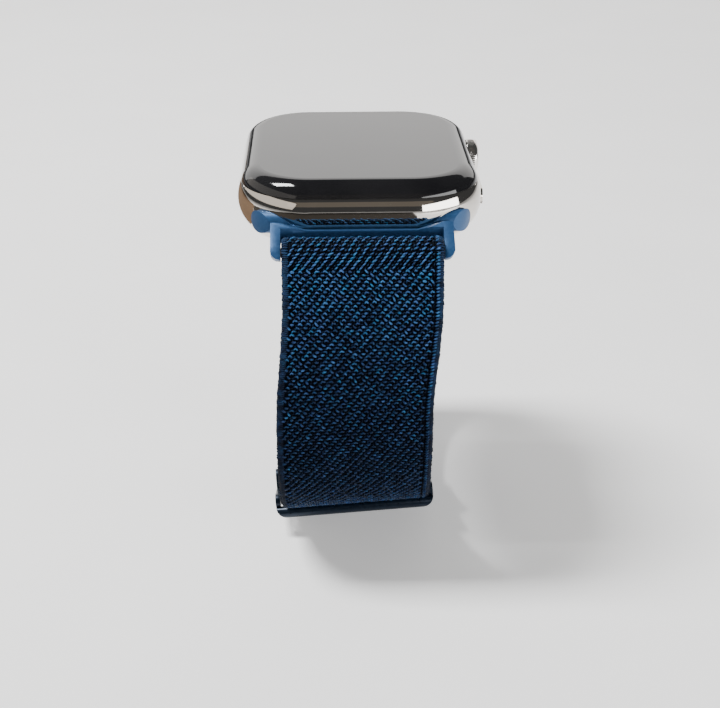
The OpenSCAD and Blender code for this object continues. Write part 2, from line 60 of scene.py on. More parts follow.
# ---------------------------------------------------------------- materials
class Graph:
    """A material with one Principled shader and short calls for its nodes."""

    def __init__(self, name):
        self.mat = bpy.data.materials.new(name)
        self.mat.use_nodes = True
        self.nodes = self.mat.node_tree.nodes
        self.links = self.mat.node_tree.links
        self.shader = self.nodes["Principled BSDF"]
        self.space = self.nodes.new("ShaderNodeTexCoord").outputs["Object"]

    def set(self, **values):
        """Sets values of the shader, each named after its input."""
        for name, value in values.items():
            self.shader.inputs[name.replace("_", " ")].default_value = value

    def feed(self, socket, value):
        """Links a socket to another node, or sets its value."""
        if isinstance(value, bpy.types.NodeSocket):
            self.links.new(value, socket)
        else:
            socket.default_value = value

    def node(self, kind, **inputs):
        """A new node, with each input linked or set."""
        n = self.nodes.new(kind)
        for name, value in inputs.items():
            self.feed(n.inputs[name.replace("_", " ")], value)
        return n

    def math(self, operation, *values):
        n = self.nodes.new("ShaderNodeMath")
        n.operation = operation
        for socket, value in zip(n.inputs, values):
            self.feed(socket, value)
        return n.outputs[0]

    def noise(self, scale, detail=3.0, stretch=None, roughness=0.5):
        vector = self.space
        if stretch:
            vector = self.node("ShaderNodeMapping", Vector=vector, Scale=stretch).outputs[0]
        return self.node("ShaderNodeTexNoise", Vector=vector, Scale=scale,
                         Detail=detail, Roughness=roughness).outputs["Fac"]

    def ramp(self, factor, stops):
        """A colour ramp, whose last stops may lie past 1."""
        top = max(1, stops[-1][0])
        if top > 1:
            factor = self.math("MULTIPLY", factor, 1 / top)
        n = self.node("ShaderNodeValToRGB", Fac=factor)
        r = n.color_ramp
        while len(r.elements) < len(stops):
            r.elements.new(0.5)
        for e, (place, colour) in zip(r.elements, stops):
            e.position = min(1, place / top)
            e.color = (*colour, 1)
        return n.outputs["Color"]

    def mix(self, factor, a, b):
        n = self.nodes.new("ShaderNodeMix")
        n.data_type = "RGBA"
        self.links.new(factor, n.inputs["Factor"])
        self.links.new(a, n.inputs[6])
        self.links.new(b, n.inputs[7])
        return n.outputs[2]

    def remap(self, factor, start, end):
        """A factor moved from one pair of limits to another, and held at both ends."""
        return self.node("ShaderNodeMapRange", Value=factor, From_Min=start[0], From_Max=start[1],
                         To_Min=end[0], To_Max=end[1]).outputs["Result"]

    def span(self, noise, low, high):
        """A noise spread over a range: most of it lies between 0.3 and 0.7."""
        return self.remap(noise, (0.3, 0.7), (low, high))

    def colour(self, socket):
        self.links.new(socket, self.shader.inputs["Base Color"])

    def rough(self, socket):
        self.links.new(socket, self.shader.inputs["Roughness"])

    def bump(self, height, strength, distance):
        n = self.node("ShaderNodeBump", Height=height, Strength=strength, Distance=distance)
        self.links.new(n.outputs["Normal"], self.shader.inputs["Normal"])


def surface(name, low, high, rough, grain, bump=0.0, detail=3.0, stretch=None, **shader):
    """A two-tone surface: a noise of that grain size, in mm, drives colour, roughness and bump."""
    g = Graph(name)
    n = g.noise(1 / (grain * MM), detail, stretch)
    g.colour(g.ramp(n, [(0.3, low), (0.7, high)]))
    g.rough(g.span(n, *rough))
    if bump:
        g.bump(g.noise(4 / (grain * MM), 2, stretch), bump, 0.02 * MM)
    g.set(**shader)
    return g.mat


steel = surface("polished steel", (0.66, 0.62, 0.57), (0.72, 0.68, 0.63), (0.035, 0.075), 6,
                Metallic=1.0)
crown_steel = surface("crown steel", (0.80, 0.78, 0.74), (0.86, 0.84, 0.8), (0.08, 0.14), 2,
                      Metallic=1.0)
glass = surface("dark glass", (0.006, 0.006, 0.007), (0.011, 0.011, 0.012), (0.04, 0.08), 9,
                IOR=1.5)
ceramic = surface("black ceramic", (0.008, 0.008, 0.009), (0.014, 0.014, 0.016),
                  (0.12, 0.2), 5, IOR=1.7, Coat_Weight=0.5, Coat_Roughness=0.05)
plastic = surface("black plastic", (0.010, 0.010, 0.011), (0.022, 0.022, 0.024),
                  (0.4, 0.6), 0.8, bump=0.15)
rubber = surface("seal rubber", (0.012, 0.012, 0.012), (0.02, 0.02, 0.02), (0.6, 0.8), 0.5,
                 bump=0.2)
board = surface("circuit board", (0.005, 0.05, 0.022), (0.01, 0.09, 0.04), (0.3, 0.5), 1.5)
flex = surface("flex circuit", (0.35, 0.13, 0.02), (0.5, 0.2, 0.04), (0.3, 0.45), 1.2)
stainless = surface("stainless", (0.5, 0.5, 0.51), (0.62, 0.62, 0.63), (0.2, 0.34), 0.6,
                    stretch=(0.2, 1, 1), Metallic=1.0)
copper = surface("copper", (0.6, 0.3, 0.16), (0.75, 0.4, 0.24), (0.22, 0.36), 0.8, Metallic=1.0)
emitter = surface("emitter", (0.05, 0.22, 0.08), (0.1, 0.4, 0.15), (0.15, 0.25), 0.7,
                  Coat_Weight=0.5)
anodised = surface("blue anodised", (0.021, 0.076, 0.19), (0.027, 0.09, 0.215),
                   (0.32, 0.42), 0.5, bump=0.12, detail=5, Metallic=0.4)
navy = surface("navy slider", (0.003, 0.009, 0.02), (0.006, 0.015, 0.031), (0.26, 0.38), 0.6,
               bump=0.12, detail=5, Metallic=0.5)


def yarn(name, dark, mid, bright, rough, sheen=0.1, specular=0.25, violet=0.7):
    """Yarn: fine filaments, each stitch a little lighter or darker, deep ends in painted shade, tops
    in painted light, and painted shade down the band.
    """
    g = Graph(name)
    patch = g.noise(1100, 2)
    fibre = g.noise(9000, 2)
    # Painted shade and light from each stitch's height: darker at its low ends, lighter at its top
    lift = g.node("ShaderNodeAttribute")
    lift.attribute_name = "lift"
    tone = g.math("MULTIPLY_ADD", fibre, 0.4, patch)
    tone = g.math("MULTIPLY_ADD", lift.outputs["Fac"], 0.55, tone)
    height = g.node("ShaderNodeSeparateXYZ", Vector=g.space).outputs["Z"]
    # Painted shade: darker down the band, which turns away from the light; painted light: lighter
    # again at its foot
    tone = g.math("ADD", tone, g.remap(height, (-0.04, 0.0), (-0.36, 0.0)))
    tone = g.math("ADD", tone, g.remap(height, (-0.048, -0.04), (0.15, 0.0)))
    stops = (0.62, 0.98, 1.32)
    teal = g.ramp(tone, list(zip(stops, (dark, mid, bright))))
    violet_mid = (mid[1] * 0.3, mid[1] * 0.55, mid[2])
    violet_bright = (bright[1] * 0.5, bright[1] * 0.7, bright[2] * 1.1)
    purple = g.ramp(tone, list(zip(stops, (dark, violet_mid, violet_bright))))
    g.colour(g.mix(g.span(g.noise(700, 1), 0.0, violet), teal, purple))
    g.rough(g.span(patch, *rough))
    g.bump(fibre, 0.5, 0.03 * MM)
    g.set(Sheen_Weight=sheen, Sheen_Roughness=0.4, Sheen_Tint=(0.4, 0.7, 0.95, 1.0),
          Specular_IOR_Level=specular)
    return g.mat


bright_yarn = yarn("bright yarn", (0.0005, 0.005, 0.022), (0.0017, 0.03, 0.09),
                   (0.012, 0.145, 0.32), (0.4, 0.55), violet=0.55)
navy_yarn = yarn("navy yarn", (0.0005, 0.001, 0.004), (0.002, 0.007, 0.022),
                 (0.008, 0.035, 0.085), (0.5, 0.7), 0.04, 0.15, 0.4)
thread = yarn("sewing thread", (0.002, 0.008, 0.022), (0.008, 0.036, 0.09),
              (0.02, 0.09, 0.19), (0.35, 0.5), 0.1, 0.3, 0.2)


def ground_fabric():
    """The woven ground between the raised stitches: fine crossing ribs on a near-black navy."""
    g = Graph("ground fabric")
    uv = g.node("ShaderNodeUVMap").outputs["UV"]
    split = g.node("ShaderNodeSeparateXYZ", Vector=uv)

    def ribs(socket, pitch):
        return g.math("SINE", g.math("MULTIPLY", socket, 2 * math.pi / pitch))

    cross = g.math("ADD", ribs(split.outputs["X"], COLUMN / 3), ribs(split.outputs["Y"], ROW / 2))
    patch = g.noise(1500, 3)
    g.colour(g.ramp(patch, [(0.3, (0.0004, 0.001, 0.003)), (0.7, (0.001, 0.003, 0.008))]))
    g.rough(g.span(patch, 0.55, 0.75))
    g.bump(cross, 0.7, 0.05 * MM)
    g.set(Specular_IOR_Level=0.06)
    return g.mat


ground = ground_fabric()

BY_SLOT = {
    "polished_steel": steel, "dark_glass": glass, "black_ceramic": ceramic,
    "black_plastic": plastic, "seal_rubber": rubber, "circuit_board": board,
    "flex_circuit": flex, "stainless": stainless, "copper": copper, "emitter": emitter,
    "blue_anodised": anodised, "blue_webbing": ground, "navy_slider": navy,
}
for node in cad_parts.values():
    for holder in node.material_slots:
        holder.material = BY_SLOT[holder.material.name.split(".")[0]]


# ---------------------------------------------------------------- meshes
def piece(name, verts, faces, material, body, replaces=(), sharp=35, uv=None, lift=None):
    """A mesh piece from points in mm. It rides on a body, or, for the sewn end, is attached to none.
    """
    mesh = bpy.data.meshes.new(name)
    mesh.from_pydata((np.asarray(verts) * MM).tolist(), [], faces)
    mesh.materials.append(material)
    # Each point's height in its stitch, from which the yarn paints shade on low ends and light on
    # tops
    if lift is not None:
        mesh.attributes.new("lift", "FLOAT", "POINT").data.foreach_set("value", lift)
    if uv is not None:
        layer = mesh.uv_layers.new(name="UVMap")
        loops = np.zeros(len(mesh.loops), dtype=np.int64)
        mesh.loops.foreach_get("vertex_index", loops)
        layer.data.foreach_set("uv", np.asarray(uv)[loops].ravel())
    mesh.update()
    mesh.shade_smooth()
    mesh.set_sharp_from_angle(angle=math.radians(sharp))
    obj = bpy.data.objects.new(name, mesh)
    bpy.context.scene.collection.objects.link(obj)
    if body == "sewn end":
        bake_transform(obj)
    else:
        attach(obj, body)
    if replaces:
        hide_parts(*replaces)
    return obj


# Points closer than this, in m, are one point, and faces that turn by less are one face
WELD, ONE_FACE = 2e-6, math.radians(0.4)


def eased(node, name, body, width, material, segments=3, angle=28):
    """A copy of a CAD node with its edges rounded, by a width in mm, which stands for the node."""
    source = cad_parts[node]
    mesh = source.data.copy()
    mesh.name = name
    b = bmesh.new()
    b.from_mesh(mesh)
    bmesh.ops.remove_doubles(b, verts=b.verts, dist=WELD)
    bmesh.ops.dissolve_limit(b, angle_limit=ONE_FACE, verts=b.verts, edges=b.edges)
    b.to_mesh(mesh)
    b.free()
    if mesh.attributes.get("custom_normal"):
        mesh.attributes.remove(mesh.attributes["custom_normal"])
    obj = bpy.data.objects.new(name, mesh)
    bpy.context.scene.collection.objects.link(obj)
    bevel = obj.modifiers.new("round the edges", "BEVEL")
    bevel.width = width * MM
    bevel.segments = segments
    bevel.limit_method = "ANGLE"
    bevel.angle_limit = math.radians(angle)
    bevel.use_clamp_overlap = True
    bevel.harden_normals = False
    done = bpy.data.meshes.new_from_object(obj.evaluated_get(bpy.context.evaluated_depsgraph_get()))
    obj.modifiers.clear()
    obj.data = done
    done.materials.clear()
    done.materials.append(material)
    done.shade_smooth()
    done.set_sharp_from_angle(angle=math.radians(32))
    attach(obj, body)
    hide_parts(node)


# ---------------------------------------------------------------- the band's path, in mm
# A wide arc under the wrist, a tighter one at each side, then a long one up to the strap pin.
# Angles are in degrees, from straight down.
BAND_LOW, UNDER_R, LOW_R, CORNER = -48.3, 40, 22, 30
PIN, WRAP_R = np.array([26.2, 2.2]), 1.53
# Between the middles of the two layers, where they lie on each other
LAYER = 1.5
# The slider's place along the under arc, its middle bar's radius there, and the fold round that bar
SLIDER_AT, MIDDLE_R, END_WRAP = 12.5, 36.92, 1.58
# The band rolls to one side from ROLL_TOP down, fully at a height of -FULL_ROLL, and shifts along X
ROLL, SHIFT = math.radians(4.3), -0.5
ROLL_TOP, FULL_ROLL = PIN[1] - 6, 24
# Above SWING_FROM over its lowest point the band swings less and less, by SWING_MORE at most
SWING_FROM, SWING_MORE = 6, 5
# Points of the under arc stop at UNDER_TO, short of the corner, and those of the side arc
# start at SIDE_FROM, a little past the end of the arc below it
UNDER_TO, SIDE_FROM, SIDE_STEP = 27.5, 91, 0.25
# The layers open out over OPENING degrees before the pin, and the sewn tail is TAIL degrees long
OPENING, TAIL = 5, 13
# The angle where the back stretch ends and the sewn end starts, a hair apart
JOIN, HAIR = 41.8, 0.05
# Steps round the small radii of the pin and the slider's bar, in degrees
TURN_STEP = 6


def out(a):
    """The direction at an angle, as (y, z)."""
    return np.array([math.sin(math.radians(a)), -math.cos(math.radians(a))])


def ease(t):
    """From 0 to 1 with a soft start and a soft end."""
    t = min(1, max(0, t))
    return t * t * (3 - 2 * t)


UNDER_C = np.array([0, BAND_LOW + UNDER_R])
LOW_C = UNDER_C + (UNDER_R - LOW_R) * out(CORNER)
SIDE_Y = LOW_C[0] + LOW_R
DY, DZ = SIDE_Y - PIN[0], PIN[1] - LOW_C[1]
SIDE_R = (DY * DY + DZ * DZ - WRAP_R * WRAP_R) / (2 * (DY - WRAP_R))
SIDE_C = np.array([SIDE_Y - SIDE_R, LOW_C[1]])
WRAP_START = 90 + math.degrees(math.atan((PIN[1] - SIDE_C[1]) / (PIN[0] - SIDE_C[0])))


def run_point(a):
    """A point of the far half of the outer layer."""
    if a < CORNER:
        return UNDER_C + UNDER_R * out(a)
    if a < 90:
        return LOW_C + LOW_R * out(a)
    return SIDE_C + SIDE_R * out(a)


def inner_point(a):
    """A point of the inner layer, which opens out from the outer one to go round the pin."""
    inset = LAYER + (2 * WRAP_R - LAYER) * ease((a - WRAP_START + OPENING) / OPENING)
    return run_point(a) - inset * out(a)


def arc(start, end, step=1.0):
    """Angles from start to end, about a step apart."""
    n = max(2, int(abs(end - start) / step) + 1)
    return np.linspace(start, end, n)


def mirrored(p):
    """The same point on the near half."""
    return np.array([-p[0], p[1]])


# Points of a line closer than this are one, and tangents look this far to each side
SAME, ASIDE = 1e-4, 0.25


def resampled(points, pitch):
    """Evenly spaced stations along a line of (y, z) points: points, tangents, lengths."""
    points = np.array(points)
    keep = [0]
    for i in range(1, len(points)):
        if np.linalg.norm(points[i] - points[keep[-1]]) > SAME:
            keep.append(i)
    points = points[keep]
    length = np.concatenate([[0], np.cumsum(np.linalg.norm(np.diff(points, axis=0), axis=1))])
    n = int(length[-1] / pitch)
    s = np.linspace(0, length[-1], n + 1)
    p = np.column_stack([np.interp(s, length, points[:, k]) for k in (0, 1)])
    wide = np.column_stack([np.interp(np.clip(s + d, 0, length[-1]), length, points[:, k])
                            for d in (-ASIDE, ASIDE) for k in (0, 1)])
    t = wide[:, 2:] - wide[:, :2]
    t /= np.linalg.norm(t, axis=1)[:, None]
    return p, t, s


# Stretches of the webbing, each a line of (y, z) points
near_part = (
    [mirrored(inner_point(a)) for a in arc(WRAP_START - OPENING, WRAP_START - 0.5)]
    + [mirrored(PIN + WRAP_R * out(a)) for a in arc(WRAP_START + 180, WRAP_START, TURN_STEP)]
    + [mirrored(run_point(a)) for a in arc(WRAP_START - 1, SIDE_FROM, SIDE_STEP)]
    + [mirrored(run_point(a)) for a in arc(90, CORNER)]
    + [UNDER_C + UNDER_R * out(a) for a in arc(-UNDER_TO, 0)]
)
far_part = (
    [UNDER_C + UNDER_R * out(a) for a in arc(0, UNDER_TO)]
    + [run_point(a) for a in arc(CORNER, 90)]
    + [run_point(a) for a in arc(SIDE_FROM, WRAP_START - 1, SIDE_STEP)]
    + [PIN + WRAP_R * out(a) for a in arc(WRAP_START, WRAP_START + 180, TURN_STEP)]
)
back_part = (
    [PIN + WRAP_R * out(a) for a in arc(WRAP_START + 170, WRAP_START + 180, TURN_STEP)]
    + [inner_point(a) for a in arc(WRAP_START - 0.5, SIDE_FROM, SIDE_STEP)]
    + [run_point(a) - LAYER * out(a) for a in arc(90, JOIN)]
)
end_centre = UNDER_C + MIDDLE_R * out(-SLIDER_AT)
tail_part = [
    UNDER_C + (MIDDLE_R - END_WRAP + ease(a / TAIL) * (2 * END_WRAP - LAYER)) * out(a - SLIDER_AT)
    for a in arc(1, TAIL)
]
end_part = (
    [run_point(a) - LAYER * out(a) for a in arc(JOIN - HAIR, CORNER)]
    + [UNDER_C + (UNDER_R - LAYER) * out(a) for a in arc(UNDER_TO, -SLIDER_AT + 1)]
    + [end_centre + END_WRAP * out(a) for a in arc(-SLIDER_AT, -SLIDER_AT - 180, TURN_STEP)]
    + tail_part
)


def rolled(x, y, z, z0):
    """The slight roll of the band to one side, more of it lower down."""
    f = np.clip((ROLL_TOP - z0) / (ROLL_TOP + FULL_ROLL), 0, 1)
    f = f * f * (3 - 2 * f)
    a = ROLL * f
    h = z - BAND_LOW
    past = np.maximum(h - SWING_FROM, 0)
    swing = np.minimum(h, SWING_FROM) + SWING_MORE * (1 - np.exp(-past / SWING_MORE))
    return np.stack([x * np.cos(a) - swing * np.sin(a) + SHIFT * f, y,
                     BAND_LOW + x * np.sin(a) + h * np.cos(a)], axis=-1)


def laid(x, up, p, t):
    """Points x across the band and up off its middle line, at stations p with tangents t."""
    normal = np.stack([t[..., 1], -t[..., 0]], axis=-1)
    yz = p + up[..., None] * normal
    return rolled(x, yz[..., 0], yz[..., 1], p[..., 1])


# The webbing's half width, its half thickness without the stitches, and how far its edges round
HALF_W, CORE, ROUND = 12.0, 0.5, 0.45
# The flat of the ground ends here on each side
FLAT_W = HALF_W - 0.5
# Steps along the band, for the ground and for placing stitches, and the height of the fine ribs
GROUND_STEP, FINE_STEP, RIB_HEIGHT = 0.148, 0.05, 0.035


def core_section():
    """The ground fabric's cross-section, x and height, going round."""
    across = np.linspace(-FLAT_W, FLAT_W, 29)
    turn = np.radians(np.linspace(90, -90, 7))[1:-1]
    right = [(FLAT_W + ROUND * math.cos(a), CORE * math.sin(a)) for a in turn]
    left = [(-x, -h) for x, h in right]
    return np.array([(x, CORE) for x in across] + right + [(x, -CORE) for x in across[::-1]]
                    + left)


def ribbon(name, path, body):
    """The woven ground as one closed skin along a path, with fine ribs across it."""
    p, t, s = resampled(path, GROUND_STEP)
    section = core_section()
    n, m = len(s), len(section)
    rib = RIB_HEIGHT * np.cos(2 * np.pi * s / ROW)
    height = np.sign(section[:, 1]) * (np.abs(section[:, 1])[None, :] + rib[:, None])
    verts = laid(np.broadcast_to(section[:, 0], (n, m)), height, p[:, None, :], t[:, None, :])
    verts = verts.reshape(-1, 3)
    i, j = np.meshgrid(np.arange(n - 1), np.arange(m), indexing="ij")
    a = (i * m + j).ravel()
    b = (i * m + (j + 1) % m).ravel()
    faces = np.stack([a, b, b + m, a + m], axis=1).tolist()
    faces.append(list(range(m - 1, -1, -1)))
    faces.append([(n - 1) * m + k for k in range(m)])
    uv = np.stack([np.broadcast_to(section[:, 0], (n, m)), np.broadcast_to(s[:, None], (n, m))],
                  axis=-1).reshape(-1, 2)
    return piece(name, verts, faces, ground, body, sharp=60, uv=uv)


def tube_template(line, radii, sides):
    """A closed tube along a short line of (across, along, up) points."""
    line = np.array(line, dtype=float)
    rings = []
    for k, c in enumerate(line):
        d = line[min(k + 1, len(line) - 1)] - line[max(k - 1, 0)]
        d /= np.linalg.norm(d)
        u = np.cross(d, [0.13, 0.05, 1])
        u /= np.linalg.norm(u)
        v = np.cross(u, d)
        for q in range(sides):
            w = 2 * math.pi * q / sides
            rings.append(c + radii[k] * (math.cos(w) * u + math.sin(w) * v))
    faces = []
    for k in range(len(line) - 1):
        for q in range(sides):
            r = (q + 1) % sides
            faces.append([k * sides + q, k * sides + r, (k + 1) * sides + r, (k + 1) * sides + q])
    ends = [list(range(sides - 1, -1, -1)), [(len(line) - 1) * sides + q for q in range(sides)]]
    return np.array(rings), faces, ends


# How much the stitches differ in size
SIZE_SPREAD = 0.08


def scatter(template, path, stations, x, lift, jitter=0.03, turn=0.0):
    """Copies of a stitch at stations along a path: points, quads, end caps, heights."""
    points, faces, ends = template
    p, t, s = resampled(path, FINE_STEP)
    index = np.clip(np.searchsorted(s, stations), 0, len(s) - 1)
    n = len(stations)
    local = points[None] * (1 + rng.normal(0, SIZE_SPREAD, (n, 1, 3)))
    swing = rng.normal(0, turn, (n, 1)) if turn else np.zeros((n, 1))
    cos, sin = np.cos(swing), np.sin(swing)
    local = np.stack([local[..., 0] * cos - local[..., 1] * sin,
                      local[..., 0] * sin + local[..., 1] * cos, local[..., 2]], axis=-1)
    local = local + rng.normal(0, jitter, (n, 1, 3))
    along = np.clip(stations[:, None] + local[..., 1], 0, s[-1])
    pp = np.stack([np.interp(along, s, p[:, k]) for k in (0, 1)], axis=-1)
    tt = np.broadcast_to(t[index][:, None, :], pp.shape)
    verts = laid(x[:, None] + local[..., 0], lift + local[..., 2], pp, tt)
    block = np.arange(n)[:, None, None] * len(points)
    quads = (np.array(faces)[None] + block).reshape(-1, 4)
    caps = np.concatenate([(np.array(e)[None] + block[:, :, 0]) for e in ends])
    # How high each point lies in its stitch, 0 at the low ends and 1 at the top; the yarn paints
    # shade and light from it
    height = np.clip((local[..., 2] - points[:, 2].min()) / np.ptp(points[:, 2]), 0, 1)
    return verts.reshape(-1, 3), quads, caps, height.ravel()


def together(parts):
    """Several results of scatter as one: points, faces, heights."""
    verts, faces, heights, base = [], [], [], 0
    for v, quads, caps, h in parts:
        verts.append(v)
        heights.append(h)
        faces += (quads + base).tolist() + (caps + base).tolist()
        base += len(v)
    return np.concatenate(verts), faces, np.concatenate(heights)


# The columns of raised stitches lie between these; the bead column and the edges lie outside
FIRST, LAST = -HALF_W + 1.15, HALF_W - 1.45
BEAD_X, HOOP_X = HALF_W - 0.9, HALF_W - 0.6
# How high each kind lies, where LOW is for those that sink into the ground
RAISED, BEADED, SEWN, FLECKED, LOW = CORE + 0.08, CORE + 0.1, CORE + 0.16, CORE + 0.03, CORE + 0.02
# How unevenly the edges and the sewing lie, and how far from a strap pin the stitches are long
NEAT_EDGE, NEAT_SEAM, PIN_REACH = 0.008, 0.01, 3.0
# Yarn takes a smoothing angle this wide, and all its tubes but the hoops have this many sides
YARN_SHARP, SIDES = 80, 5
# Stitches: their middle line (across, along, up), then how thick the yarn is at each point
ARCH = tube_template([(-0.36, 0.19, -0.14), (-0.22, -0.02, 0.09), (-0.03, -0.15, 0.14),
                      (0.17, 0.0, 0.11), (0.33, 0.21, -0.14)],
                     [0.10, 0.135, 0.15, 0.135, 0.10], SIDES)
BACK_DASH = tube_template([(-0.28, -0.22, -0.12), (-0.15, -0.10, 0.10), (0.0, 0.02, 0.14),
                           (0.15, 0.12, 0.10), (0.27, 0.22, -0.12)],
                          [0.11, 0.15, 0.16, 0.15, 0.11], SIDES)
OVAL = tube_template([(-0.26, 0.03, -0.12), (-0.14, 0.0, 0.10), (0.0, -0.03, 0.15),
                      (0.14, 0.0, 0.10), (0.26, 0.03, -0.12)],
                     [0.12, 0.17, 0.19, 0.17, 0.12], SIDES)
SLANT = tube_template([(-0.34, 0.24, -0.12), (-0.18, 0.12, 0.08), (0.0, 0.0, 0.12),
                       (0.18, -0.12, 0.08), (0.34, -0.24, -0.12)],
                      [0.09, 0.12, 0.13, 0.12, 0.09], SIDES)
FLECK = tube_template([(-0.17, 0.11, -0.1), (-0.06, 0.04, 0.06), (0.06, -0.04, 0.06),
                       (0.17, -0.11, -0.1)], [0.08, 0.11, 0.11, 0.08], SIDES)
BEAD = tube_template([(-0.28, 0.15, -0.1), (-0.1, 0.05, 0.1), (0.12, -0.06, 0.1),
                      (0.28, -0.15, -0.1)], [0.1, 0.15, 0.15, 0.1], SIDES)
HOOP = tube_template([(0.42, 0, 0.0), (0.2, 0, 0.09), (0.0, 0, 0.10), (-0.28, 0, 0.02),
                      (-0.46, 0, -0.25), (-0.46, 0, -0.75), (-0.28, 0, -1.0),
                      (0.1, 0, -1.08), (0.42, 0, -1.0)],
                     [0.1, 0.13, 0.15, 0.15, 0.15, 0.15, 0.15, 0.13, 0.1], 6)
FLIPPED_HOOP = (HOOP[0] * [-1, 1, 1], [f[::-1] for f in HOOP[1]], [e[::-1] for e in HOOP[2]])
FLAT = tube_template([(-0.32, 0.2, -0.1), (-0.12, 0.07, 0.05), (0.12, -0.07, 0.05),
                      (0.32, -0.2, -0.1)], [0.09, 0.13, 0.13, 0.09], SIDES)
DASH = tube_template([(-0.48, 0, -0.1), (-0.3, 0, 0.05), (0.3, 0, 0.05), (0.48, 0, -0.1)],
                     [0.08, 0.1, 0.1, 0.08], SIDES)
# Each kind of raised stitch with how often it comes
KINDS = [(ARCH, 0.5), (BACK_DASH, 0.22), (OVAL, 0.28)]


def rows(path, pitch):
    """Stations along a path, clear of both its ends."""
    length = resampled(path, 0.5)[2][-1]
    return np.arange(0.2, length - 0.15, pitch)


def stitches(path, phase=0):
    """Stations and places of the raised stitches: each row moves a third of a column."""
    where, x = [], []
    for j, s in enumerate(rows(path, ROW)):
        shift = -((j + phase) % 3) * COLUMN / 3
        for c in np.arange(FIRST + shift, LAST, COLUMN):
            if c >= FIRST - 0.1:
                where.append(s)
                x.append(c)
    return np.array(where), np.array(x)


def pin_side(path, where):
    """True for the stations that lie over a strap pin, where the stitches draw out long."""
    p, _, s = resampled(path, FINE_STEP)
    near = np.minimum(np.linalg.norm(p - PIN, axis=1), np.linalg.norm(p - mirrored(PIN), axis=1))
    return np.interp(where, s, near) < PIN_REACH


def weave(name, path, body, phase=0):
    """One stretch of the band: raised stitches, flecks between them, two edges, ground."""
    where, x = stitches(path, phase)
    drawn = pin_side(path, where)
    kind = rng.random(len(where))
    raised = [scatter(SLANT, path, where[drawn], x[drawn], RAISED, turn=0.1)] \
        if drawn.any() else []
    start = 0.0
    for template, share in KINDS:
        chosen = ~drawn & (kind >= start) & (kind < start + share)
        start += share
        raised.append(scatter(template, path, where[chosen], x[chosen], RAISED, turn=0.16))
    made = []

    def add(suffix, parts, mat):
        verts, faces, height = together(parts)
        made.append(piece(name + suffix, verts, faces, mat, body,
                          sharp=YARN_SHARP, lift=height))

    add("_stitches", raised, bright_yarn)
    flecks = scatter(FLECK, path, where + 0.1, x + COLUMN / 2, FLECKED, turn=0.3)
    add("_flecks", [flecks], navy_yarn)
    edge = rows(path, ROW)
    beads = np.full(len(edge), BEAD_X)
    add("_edge_column", [scatter(BEAD, path, edge, beads, BEADED)], bright_yarn)
    rib = rows(path, RIB)
    hoops = np.full(len(rib), HOOP_X)
    add("_edges", [scatter(HOOP, path, rib, -hoops, LOW, NEAT_EDGE),
                   scatter(FLIPPED_HOOP, path, rib, hoops, CORE, NEAT_EDGE)], navy_yarn)
    made.append(ribbon(name + "_ground", path, body))
    return made


def inner_face(name, path, body):
    """Flatter stitches on the side of the band that faces the wrist."""
    where, x = stitches(path)
    verts, faces, height = together([scatter(FLAT, path, where, x, LOW, turn=0.2)])
    piece(name, verts, faces, navy_yarn, body, sharp=YARN_SHARP, lift=height)


def seam(name, path, stations, body):
    """Rows of sewing thread across the band."""
    x = np.arange(-HALF_W + 1.4, HALF_W - 1.2, 1.35)
    parts = [scatter(DASH, path, np.full(len(x), s), x, SEWN, NEAT_SEAM) for s in stations]
    verts, faces, height = together(parts)
    piece(name, verts, faces, thread, body, sharp=YARN_SHARP, lift=height)


near_pieces = weave("webbing_near", near_part, "band")
weave("webbing_far", far_part, "band", 1)
weave("webbing_back", back_part, "band", 2)
end_pieces = weave("webbing_end", end_part, "sewn end", 1)
near_inner = ([UNDER_C + UNDER_R * out(a) for a in arc(0, -UNDER_TO)]
              + [mirrored(run_point(a)) for a in arc(CORNER, WRAP_START - 6)])
inner_face("webbing_near_inner_face", near_inner, "band")
inner_face("webbing_end_tail_face", tail_part[::-1], "slider")
SEAM_ROWS = (1.2, 2.7)
seam("webbing_near_seam", near_part, SEAM_ROWS, "band")
seam("webbing_end_seam", tail_part[::-1], SEAM_ROWS, "slider")
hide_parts("webbing")
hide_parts("webbing_end")

# ---------------------------------------------------------------- hard parts
eased("band_adapter_near", "adapter_near", "band", 0.14, anodised)
eased("band_adapter_far", "adapter_far", "band", 0.14, anodised)
eased("slider_buckle", "slider_frame", "slider", 0.2, navy)

cap_low, cap_high = (np.array(c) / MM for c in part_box("crown_cap"))
CROWN_Y, CROWN_Z = (cap_low[1:] + cap_high[1:]) / 2


